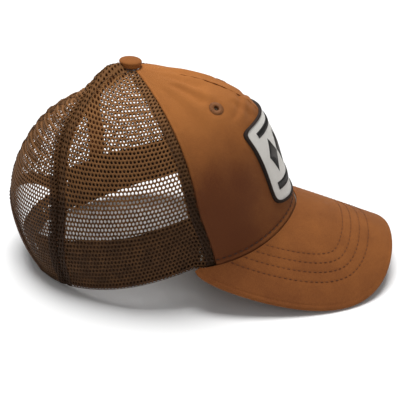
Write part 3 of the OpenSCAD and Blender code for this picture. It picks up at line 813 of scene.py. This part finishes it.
def sweatband():
    """The band's section runs from under the panels' edge, round the rim and up the inside."""
    section = [(0.9, -1.3), (0.1, -1.3), (-0.35, -2.0), (-0.45, -3.4), (0.0, -4.9), (1.6, -5.7), (8, -5.8),
               (15, -6.0), (22, -6.0), (30, -5.9), (BAND_HEIGHT - 1, -5.8), (BAND_HEIGHT, -5.3),
               (BAND_HEIGHT - 1, -4.8), (30, -4.9), (22, -5.0), (15, -5.0), (8, -4.8), (1.8, -4.7),
               (0.8, -4.2), (0.5, -3.3), (0.7, -2.3), (0.9, -1.8)]
    a = np.linspace(-BAND_END, BAND_END, 261)
    wave = 0.22 * np.sin(a / 3.1) + 0.15 * np.sin(a / 1.3 + 1)
    rings = np.stack([band_point(a, np.full_like(a, up), out + wave * smooth(up / 20) * (out < -4.5))
                      for up, out in section], 1)
    cut = np.stack(grid(a * 1.5, np.array([up for up, _ in section])), -1)
    band("sweatband_cloth", rings, cut, 12, BAND, ["sweatband"])
    a = np.linspace(-BAND_END + 1, BAND_END - 1, 600)
    rows = []
    for up, out in ((2.4, -5.82), (BAND_HEIGHT - 2.4, -5.9)):
        level = np.full_like(a, up)
        rows.append((band_point(a, level, out), -crown_normal(a, level / up_speed(a))))
    stitches("sweatband_stitches", rows, DARK_THREAD, "sweatband_cloth")


def forehead_pad():
    def at(u, v):
        a = mix(-VISOR_ANGLE + 3, VISOR_ANGLE - 3, u)
        return a, 0.02 + v * PAD_HEIGHT / up_speed(a)
    pad = crown_cloth("forehead_pad", at, 90, 20, FOAM_LAYER, FOAM, ["forehead_foam"],
                      origin=0, sheet=False)


# ---- Visor ----

# Distances of the stitch rows from the visor's edge, over its surface
STITCH_ROWS = (19.8, 26.9, 33.7, 40.4)
COVER_OUT, COVER_THICK = VISOR_HALF - 0.05, 0.6
# Each cover's rolled edge: its start inside the outline, its width and height, its last angle and its steps
VISOR_ROLL = {1: (1.7, 1.7, COVER_OUT, 150, 10), -1: (2.6, 1.0, 1.0, 60, 4)}


def inner_edge(u):
    a = VISOR_ANGLE * np.abs(2 * u - 1)
    side, forward, _ = rim(a)
    gap = 0.3
    return np.stack([np.where(u < 0.5, -1, 1) * (side + gap * sind(a)), forward + gap * cosd(a)], -1)


def on_visor(plan, out):
    point, normal = visor_point(plan, out)
    return point + (0, 0, LIFT), normal


EDGE_LINE = outer_edge(np.linspace(0, 1, 500))


def edge_distance(plan, chunk=4000):
    """How far each place lies inside the visor's outer edge, over its surface."""
    points = on_visor(plan.reshape(-1, 2), 0.0)[0]
    edge = on_visor(EDGE_LINE, 0.0)[0]
    best = [norm(points[k:k + chunk, None] - edge).min(1) for k in range(0, len(points), chunk)]
    return np.concatenate(best).reshape(plan.shape[:-1])


def visor_relief(plan):
    """Furrows along the stitch rows with puckers beside them, slight waves, and the seam near the edge."""
    inside = edge_distance(plan)
    side, forward = plan[..., 0], plan[..., 1]
    out = 0.10 * np.sin(side / 9 + 1) * np.sin(forward / 12) - 0.25 * bell(inside, 3.4, 0.7)
    for k, row in enumerate(STITCH_ROWS):
        ripple = np.sin((side + forward) / 1.2 + k)
        out += 0.07 * ripple * bell(inside, row, 2.4) - 0.16 * bell(inside, row, 0.9)
    return out


def visor_cover(name, way, slot_nodes, columns=260, rows=90):
    """A visor cover with a rolled edge. way is 1 for the top and -1 for the underside."""
    u, v = mix(0.012, 0.988, spaced(columns)), spaced(rows)
    outer, inner = outer_edge(u), inner_edge(u)
    span = norm(outer - inner)
    setback, wide, tall, last, steps = VISOR_ROLL[way]
    flat_share = 1 - setback / np.maximum(span, setback * 1.2)
    plan = inner[:, None] + (outer - inner)[:, None] * (flat_share[:, None] * v)[..., None]
    relief = (1 if way > 0 else 0.6) * visor_relief(plan)
    toward = (outer - inner) / np.maximum(span, 1e-6)[:, None]
    turn = np.radians(np.linspace(0, last, steps + 1)[1:])
    roll = (outer - toward * setback)[:, None] + (toward * wide)[:, None] * np.sin(turn)[:, None]
    height = np.broadcast_to(COVER_OUT - tall + tall * np.cos(turn), roll.shape[:2])
    out = way * np.concatenate([COVER_OUT + relief * smooth(v * 40), height], 1)
    plan = np.concatenate([plan, roll], 1)
    skin, normal = on_visor(plan, out)
    # The inner face follows the skin at the cloth's thickness
    facing = unit(np.cross(np.gradient(skin, axis=0), np.gradient(skin, axis=1)))
    facing *= np.sign((facing[:, :5] * normal[:, :5]).sum(-1).mean()) * way
    near = edge_distance(plan)
    # Paler on the very edge, painted shade in the furrows along the stitch rows, and darker towards both
    # sides
    wear_and_shading = 0.10 * smooth((2.2 - near) / 2.2) - 0.15 - 0.16 * smooth((np.abs(plan[..., 0]) - 20) / 60)
    for row in STITCH_ROWS:
        wear_and_shading -= 0.06 * bell(near, row, 0.7)
    shell(name, skin, skin - facing * COVER_THICK, DUCK, slot_nodes, plan, wear_and_shading, flip=way > 0)


def visor_row(inset):
    """The line on the visor at one distance inside its edge, where it lies in front of the crown."""
    u, v = np.linspace(0.02, 0.98, 260), np.linspace(1, 0, 70)
    outer, inner = outer_edge(u), inner_edge(u)
    inside = edge_distance(inner[:, None] + (outer - inner)[:, None] * v[:, None])
    depth = np.maximum.accumulate(inside, 1)
    return np.array([i + (o - i) * np.interp(inset, d, v)
                     for i, o, d in zip(inner, outer, depth) if d[-1] > inset + 0.6])


def visor():
    visor_cover("visor_top_cloth", 1, ["visor_top_cover"])
    visor_cover("visor_bottom_cloth", -1, ["visor_bottom_cover"], columns=200, rows=60)
    for name, way in (("visor_top_stitches", 1), ("visor_bottom_stitches", -1)):
        rows = []
        for inset in STITCH_ROWS:
            plan = visor_row(inset)
            line, normal = on_visor(plan, np.full(len(plan), way * (VISOR_HALF - 0.16)))
            rows.append((line, normal * way))
        stitches(name, rows, SEW_THREAD, "duck_cloth", stitch=2.3, gap=1.5, radius=0.22)


# ---- Crown stitching ----

# Distances of the crown's stitch rows from a seam or the rim, and the thread's size in the mesh
SEAM_INSET, FRONT_SEAM_INSET, RIM_INSET = 5.6, 5.8, 2.6
FINE_STITCH = {"stitch": 2.4, "radius": 0.17}


def beside(seam, inset, t, side=1):
    """A line of stitches at a distance from a seam."""
    return crown_line(side * (seam + inset / round_speed(seam, t)), t, 0.12)


def crown_stitching():
    a = np.linspace(-VISOR_ANGLE + 1, VISOR_ANGLE - 1, 400)
    rows = [crown_line(a, SEAM_INSET / up_speed(a), -0.3)]
    stitches("front_panel_stitches", rows, DARK_THREAD, "duck_cloth", stitch=3.0, gap=1.4, radius=0.36)
    rows, low = [], np.linspace(0.01, 0.93, 260)
    for side, _ in SIDES:
        rows += [beside(rear_seam(low), inset, low, side) for inset in (-SEAM_INSET, SEAM_INSET)]
        rows.append(beside(front_seam(low), FRONT_SEAM_INSET, low, side))
    low = np.linspace(OPENING_REACH + 0.03, 0.9, 220)
    rows += [beside(180 + 0 * low, inset, low) for inset in (-SEAM_INSET, SEAM_INSET)]
    stitches("mesh_seam_stitches", rows, DARK_THREAD, "mesh_cloth", **FINE_STITCH)
    ends = (-BAND_END + 2, -VISOR_ANGLE - 1), (VISOR_ANGLE + 1, BAND_END - 2)
    parts = [np.linspace(*pair, 300) for pair in ends]
    rows = [crown_line(a, RIM_INSET / up_speed(a), -0.05) for a in parts]
    stitches("rim_stitches", rows, DARK_THREAD, "mesh_cloth", **FINE_STITCH)


# ---- Button ----

def button(steps=96):
    """The cloth over the button, gathered under its edge: a leaning turned form."""
    low, high = [PER_METRE * np.array(corner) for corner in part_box("button_cover")]
    radius, tall = (high[0] - low[0]) / 2, high[2] - low[2]
    section = [(0.02, tall)]
    section += [(radius * math.cos(x) ** 0.55, tall * (0.50 + 0.50 * math.sin(x) ** 0.8))
                for x in np.radians(np.linspace(90, 0, 26))[1:]]
    section += [(radius * (1 - 0.015 * k), tall * (0.50 - 0.13 * k)) for k in (1, 2, 3)]
    section += [(radius * 0.93, -0.5), (radius * 0.86, -0.9), (radius * 0.7, -0.6), (radius * 0.3, 0.3)]
    turn = circle(steps)
    r, h = np.repeat(np.array(section).T[:, :, None], steps, 2)
    edge = smooth((0.5 * tall - h) / (0.5 * tall)) * smooth(r / (0.5 * radius))
    gather = 0.16 * np.sin(turn * 17) + 0.10 * np.sin(turn * 29 + 1)
    lean = math.tan(math.radians(4.5)) * r * np.sin(turn)
    r, h = r - 0.25 * edge + gather * edge, h + 0.05 * np.sin(3 * turn) * edge + lean
    points = np.stack([(low[0] + high[0]) / 2 + r * np.cos(turn), (low[1] + high[1]) / 2 + r * np.sin(turn),
                       low[2] + h], -1).reshape(-1, 3)
    piece("button_cloth", points, tube_faces(len(section), steps), DUCK, ["button_cover"],
          cut=points[:, :2])


# ---- Eyelets ----

def frame_at(a, t):
    """Origin, two tangents and the normal at a place on the crown."""
    origin, normal = crown(a, t), crown_normal(a, t)
    right = unit(bare_crown(a + 0.5, t) - bare_crown(a - 0.5, t))
    right = unit(right - normal * (right * normal).sum())
    return origin, right, np.cross(normal, right), normal


# Places along one wrap of thread
WRAP = spaced(8)


def loops(name, paths, radius, material, replaces=(), sides=5):
    """Thread loops: each path is a line of points, given a round section of one radius."""
    points, faces, start = [], [], 0
    turn, hint = circle(sides)[:, None], np.array([0.31, 0.23, 0.92])
    for line in paths:
        along = unit(np.gradient(line, axis=0))
        side = unit(np.cross(along, hint))
        up = np.cross(side, along)
        ring = line[:, None] + radius * (side[:, None] * np.cos(turn) + up[:, None] * np.sin(turn))
        points.append(ring.reshape(-1, 3))
        faces.append(start + tube_faces(len(line), sides))
        start += len(line) * sides
    piece(name, np.concatenate(points), np.concatenate(faces), material, replaces)


# Radius of the hole and of the stitching, its height, and how many wraps and lining threads there are
EYELET_HOLE, EYELET_REACH, EYELET_TALL, EYELET_WRAPS, LINING_THREADS = 1.6, 5.1, 0.95, 60, 36


def eyelet(side, label):
    origin, right, up, normal = frame_at(side * EYELET_AT[0], EYELET_AT[1])

    def spoke(turn):
        return right * math.cos(turn) + up * math.sin(turn)
    paths = []
    arch = EYELET_TALL * np.sin(np.pi * WRAP) ** 0.7 - 0.55
    for k, turn in enumerate(circle(EYELET_WRAPS)):
        r = mix(EYELET_HOLE - 0.15, EYELET_REACH + 0.25 * math.sin(k * 2.4), WRAP)
        h = arch + 0.10 * math.sin(k * 1.7) - 0.4 * (WRAP < 0.05)
        skew = spoke(turn + math.pi / 2) * (0.35 * WRAP)[:, None]
        paths.append(origin + spoke(turn) * r[:, None] + skew + normal * h[:, None])
    loops(f"eyelet_stitching_{label}", paths, 0.27, EYELET_THREAD, [f"eyelet_{label}"])
    depth = normal * np.array([0.1, -0.6, -1.3, -1.9])[:, None]
    wall = [origin + spoke(turn) * EYELET_HOLE + depth for turn in circle(LINING_THREADS)]
    loops(f"eyelet_lining_{label}", wall, 0.2, SEW_THREAD)


# ---- Patch ----

def patch_reach(t):
    across = math.sin(math.radians(PATCH_ANGLE)) ** 2
    return curve([across * s[0] + (1 - across) * f[0] for f, s in zip(FRONT_PROFILE, SIDE_PROFILE)], t)


def patch_spot(x, y):
    t = (PATCH_FOOT + PATCH_HEAD) / 2 + (PATCH_HEAD - PATCH_FOOT) / 2 * y
    t = t + mix(PATCH_BOW[0], PATCH_BOW[1], (y + 1) / 2) * x ** 2
    across = np.abs(x) * patch_reach(PATCH_FOOT) / patch_reach(t)
    reach = np.minimum(1, across ** (OUTLINE_POWER / 2) * sind(PATCH_ANGLE))
    return np.sign(x) * np.degrees(np.arcsin(reach)), t


def on_patch(x, y, out):
    """The stiff patch bridges the crown's small folds, so it follows the bare shape."""
    a, t = patch_spot(x, y)
    return bare_crown(a, t) + crown_normal(a, t) * np.asarray(out)[..., None]


def patch_outline(turn, reach):
    c, s = np.cos(turn), np.sin(turn)
    r = reach / (np.abs(c) ** PATCH_POWER + np.abs(s) ** PATCH_POWER) ** (1 / PATCH_POWER)
    return r * c, r * s


# Half of the patch's width and height, and how many wraps of thread its edge has
PATCH_HALF, BORDER_WRAPS = (31.5, 33.5), 330


def patch_ground():
    x, y = grid(np.linspace(-1, 1, 121), np.linspace(-1, 1, 97))
    big = np.maximum(np.abs(x), np.abs(y))
    px, py = [p * big for p in patch_outline(np.arctan2(y, x), 0.98)]
    high = 1.05 - 0.25 * smooth((big - 0.9) / 0.1) + 0.05 * np.sin(px * 9) * np.sin(py * 7)
    shell("patch_ground_twill", on_patch(px, py, high), on_patch(px, py, 0.25), PATCH,
          ["patch_ground"], np.stack([px, py], -1) * PATCH_HALF)


def patch_border():
    """Overlocked edge: close slanting wraps of thread round the patch's rim."""
    fine = np.linspace(0, 2 * math.pi, 2001)
    run = distances(np.stack(patch_outline(fine, 0.97), -1) * PATCH_HALF)
    step = run[-1] / BORDER_WRAPS
    height = 0.95 + 0.85 * np.sin(np.pi * (WRAP * 0.95 + 0.05)) ** 0.75 - 0.9 * (WRAP > 0.93) - 0.35 * WRAP
    paths = []
    for k in range(BORDER_WRAPS):
        turn = np.interp((k + WRAP * 1.6) * step, run, fine)
        paths.append(on_patch(*patch_outline(turn, 0.950 + 0.055 * WRAP), height))
    loops("patch_border_stitching", paths, 0.33, EDGE_THREAD, ["patch_border"])


def satin(corners, spacing=0.42):
    """Close parallel threads over a four-cornered patch area, across its shorter way."""
    low_left, low_right, high_right, high_left = np.array(corners, float) * PATCH_HALF
    count = max(2, int(max(norm(low_right - low_left), norm(high_right - high_left)) / spacing))
    height = 1.0 + 0.42 * np.sin(np.pi * WRAP) ** 0.5 - 0.15 * (np.abs(WRAP - 0.5) > 0.49)
    paths = []
    for s in spaced(count):
        line = mix(mix(low_left, low_right, s), mix(high_left, high_right, s), WRAP[:, None])
        paths.append(on_patch(*(line / PATCH_HALF).T, height))
    return paths


def patch_motif():
    """Three lozenges between two bars, in shares of the patch's half width and half height."""
    wide, thick = 0.72, 0.08
    paths = []
    for y in (-0.66, 0.66):
        paths += satin([(-wide, y - thick), (wide, y - thick), (wide, y + thick), (-wide, y + thick)])
    for x in (-0.48, 0, 0.48):
        for tip in (x - 0.2, x + 0.2):
            paths += satin([(tip, 0), (x, -0.42), (x, 0.42), (tip, 0)])
    loops("patch_motif_stitching", paths, 0.25, MOTIF_THREAD, ["patch_motif"])


# ---- Strap closure ----

# The ring that both straps lie on, their sizes, and the angles of their bend, their tabs and their pegs
RING_FORWARD, RING_RADIUS, RING_MIDDLE, STRAP_LEAN = -36, 61.3, 12, 14
STRAP_FOOT, STRAP_WIDTH, STRAP_THICK, STRAP_GAP = 2.5, 18, 1.2, 0.3
FLEX, TAB, PEG_PITCH, PEG_COUNT, TIP_MARGIN = 30, 50, 6.8, 7, 5
PEG_RADIUS, HOLE_RADIUS, PEG_STEPS = 1.5, 2.3, 28
PEG_TALL, TIP_ROUND = STRAP_THICK + STRAP_GAP + 0.2, 7.0
RING_ARC = math.pi / 180 * RING_RADIUS
# Degrees from the bend to where each strap would begin and end to follow its joint; the places found from
# them are not used
BLEND_TURNS = (4.0, -5.0)
# A peg and a hole's wall, as radius and height
PEG_SECTION = [(PEG_RADIUS + 0.35, -0.3), (PEG_RADIUS + 0.1, 0.12), (PEG_RADIUS * 0.93, 0.4),
               (PEG_RADIUS * 0.86, PEG_TALL * 0.6), (PEG_RADIUS * 0.8, PEG_TALL - 0.35),
               (PEG_RADIUS * 0.66, PEG_TALL - 0.1), (PEG_RADIUS * 0.4, PEG_TALL), (0.02, PEG_TALL + 0.03)]
HOLE_SECTION = [(HOLE_RADIUS + 0.25, 0.05), (HOLE_RADIUS, 0.2), (HOLE_RADIUS, STRAP_THICK - 0.1),
                (HOLE_RADIUS + 0.12, STRAP_THICK + 0.13), (HOLE_RADIUS + 0.45, STRAP_THICK + 0.16),
                (HOLE_RADIUS + 0.8, STRAP_THICK - 0.12)]


def ring_point(direction, up, out, radius):
    """A place on the flared strap ring: degrees from straight back, height, depth out of the face."""
    lean = math.radians(STRAP_LEAN)
    r = radius + (up - RING_MIDDLE) * math.tan(lean) + out
    return np.stack([r * sind(direction), MIDDLE - RING_FORWARD + r * cosd(direction), LIFT + up + 0 * r], -1)


def strap_outline(direction, end, way):
    """Half height of the strap: full along its length, round at its free end."""
    left = np.clip((direction - end) * way * RING_ARC, 0, TIP_ROUND)
    return STRAP_WIDTH / 2 * np.sqrt(np.maximum(1 - ((TIP_ROUND - left) / TIP_ROUND) ** 2 * 0.75, 0.05))


def strap(body, radius, way):
    """A strap with its sewn-in tab, rounded edges, and either holes with raised lips or pegs."""
    columns, rows = 260, 60
    middle_up = STRAP_FOOT + STRAP_WIDTH / 2
    end = -way * (2 * PEG_PITCH + TIP_MARGIN)
    centres = way * (np.arange(PEG_COUNT) * PEG_PITCH - 2 * PEG_PITCH)
    direction = np.linspace(way * TAB, end, columns + 1)
    half = strap_outline(direction, end, way)[:, None]
    d, c = grid(direction, np.linspace(-1, 1, rows + 1))
    x, y = d * RING_ARC, c * half
    lip, inside = np.zeros_like(x), np.zeros_like(x, bool)
    # Pull the grid round each hole so that its edge is a true circle
    for centre in centres if way > 0 else ():
        dx = x - centre * RING_ARC
        r = np.hypot(dx, y)
        inside |= r < HOLE_RADIUS
        lip += 0.22 * bell(r, HOLE_RADIUS + 0.45, 0.4)
        snap = np.where(np.abs(r - HOLE_RADIUS) < 0.34, HOLE_RADIUS - r, 0) / np.maximum(r, 1e-6)
        x, y = x + dx * snap, y + y * snap
    d, up = x / RING_ARC, y + middle_up
    edge, tip = half * (1 - np.abs(c)), np.abs(d - end) * RING_ARC
    trim = 0.35 * (1 - smooth(np.minimum(edge, tip) / 0.8))
    frame_rib = 0.18 * bell(edge, 1.3, 0.45) * smooth(tip / 3)
    outer = ring_point(d, up, STRAP_THICK - trim + lip + frame_rib - 0.1, radius)
    inner = ring_point(d, up, trim, radius)
    holes = (inside[:-1, :-1] & inside[1:, 1:] | inside[1:, :-1] & inside[:-1, 1:]).ravel()
    points = [np.stack([outer, inner]).reshape(-1, 3)]
    faces = [shell_faces(columns, rows, holes)[:, ::-way]]
    section, base = (HOLE_SECTION, radius) if way > 0 else (PEG_SECTION, radius + STRAP_THICK - 0.1)
    for centre in centres:
        faces.append(tube_faces(len(section), PEG_STEPS) + sum(map(len, points)))
        points.append(turned(section, centre, middle_up, base))
    made = piece(f"{body}_band", np.concatenate(points), np.concatenate(faces), PLASTIC,
                 [body, f"{body}_tab"], body=None)
    start, end = [ring_point(way * (FLEX + turn), middle_up, STRAP_THICK / 2, radius) for turn in BLEND_TURNS]
    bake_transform(made)


def turned(section, direction, up, radius):
    """A (radius, height) section turned about the line straight out of the strap at a place on it."""
    lean = math.radians(STRAP_LEAN)
    flat, side = [np.array([sind(d), cosd(d), 0.0]) for d in (direction, direction + 90)]
    out = flat * math.cos(lean) - np.array([0, 0, 1]) * math.sin(lean)
    turn, (r, h) = circle(PEG_STEPS)[:, None], np.array(section).T[:, :, None, None]
    spoke = side * np.cos(turn) + np.cross(out, side) * np.sin(turn)
    return (ring_point(direction, up, 0.0, radius) + spoke * r + out * h).reshape(-1, 3)


def straps():
    strap("hole_strap", RING_RADIUS + STRAP_GAP, 1)
    strap("peg_strap", RING_RADIUS - STRAP_THICK, -1)


# ---- Camera, light and floor ----

# The camera's direction in degrees, its distance and target in millimetres, and pixels per millimetre there
CAMERA_TURN, CAMERA_RISE, CAMERA_DISTANCE, CAMERA_SCALE = 4.76, 31.1, 538.8, 1.3283
CAMERA_TARGET = (0, 0.47, 40.9 + LIFT)
SENSOR, FRAME_PIXELS = 36, 400


def camera():
    turn, rise = math.radians(CAMERA_TURN), math.radians(CAMERA_RISE)
    back = Vector((-math.cos(turn) * math.cos(rise), -math.sin(turn) * math.cos(rise), math.sin(rise)))
    data = bpy.data.cameras.new("camera")
    data.lens = SENSOR * CAMERA_SCALE * CAMERA_DISTANCE / FRAME_PIXELS
    data.clip_start = 0.01
    eye = bpy.data.objects.new("camera", data)
    eye.location = (Vector(CAMERA_TARGET) + back * CAMERA_DISTANCE) * MM
    eye.rotation_euler = back.to_track_quat("Z", "Y").to_euler()
    bpy.context.scene.collection.objects.link(eye)
    bpy.context.scene.camera = eye


def area_light(name, place, wide, power, aim=(0, 0, 0.05)):
    data = bpy.data.lights.new(name, "AREA")
    data.shape, data.size, data.energy = "DISK", wide, power
    lamp = bpy.data.objects.new(name, data)
    lamp.location = place
    lamp.rotation_euler = (Vector(place) - Vector(aim)).to_track_quat("Z", "Y").to_euler()
    bpy.context.scene.collection.objects.link(lamp)


def studio(half=6.0):
    """The floor, half of whose side is given in metres, the lights and the world."""
    mesh = bpy.data.meshes.new("floor")
    corners = [(-half, -half, 0), (half, -half, 0), (half, half, 0), (-half, half, 0)]
    mesh.from_pydata(corners, [], [(0, 1, 2, 3)])
    floor = bpy.data.objects.new("floor", mesh)
    material, _, surface = nodes_of("floor")
    surface.inputs["Base Color"].default_value = (0.90, 0.90, 0.90, 1)
    surface.inputs["Roughness"].default_value = 0.7
    mesh.materials.append(material)
    bpy.context.scene.collection.objects.link(floor)
    area_light("key", (0.55, 0.20, 2.9), wide=1.7, power=98)
    area_light("front_fill", (-1.6, -1.6, 1.0), wide=1.2, power=3)
    world = bpy.data.worlds.new("studio")
    world.use_nodes = True
    sky = world.node_tree.nodes["Background"].inputs
    sky["Color"].default_value, sky["Strength"].default_value = (1, 1, 1, 1), 0.30
    bpy.context.scene.world = world
    bpy.context.scene.view_settings.view_transform = "Standard"


camera()
studio()
for side, label in SIDES:
    front_panel(side, label)
    buckram(side, label)
    eyelet(side, label)
mesh_panels()
tapes()
opening_binding()
sweatband()
forehead_pad()
visor()
crown_stitching()
button()
patch_ground()
patch_border()
patch_motif()
straps()
for name, material in (("visor_board", BOARD), ("button_shell", STEEL), ("button_washer", STEEL)):
    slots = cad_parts[name].data.materials
    slots.clear()
    slots.append(material)
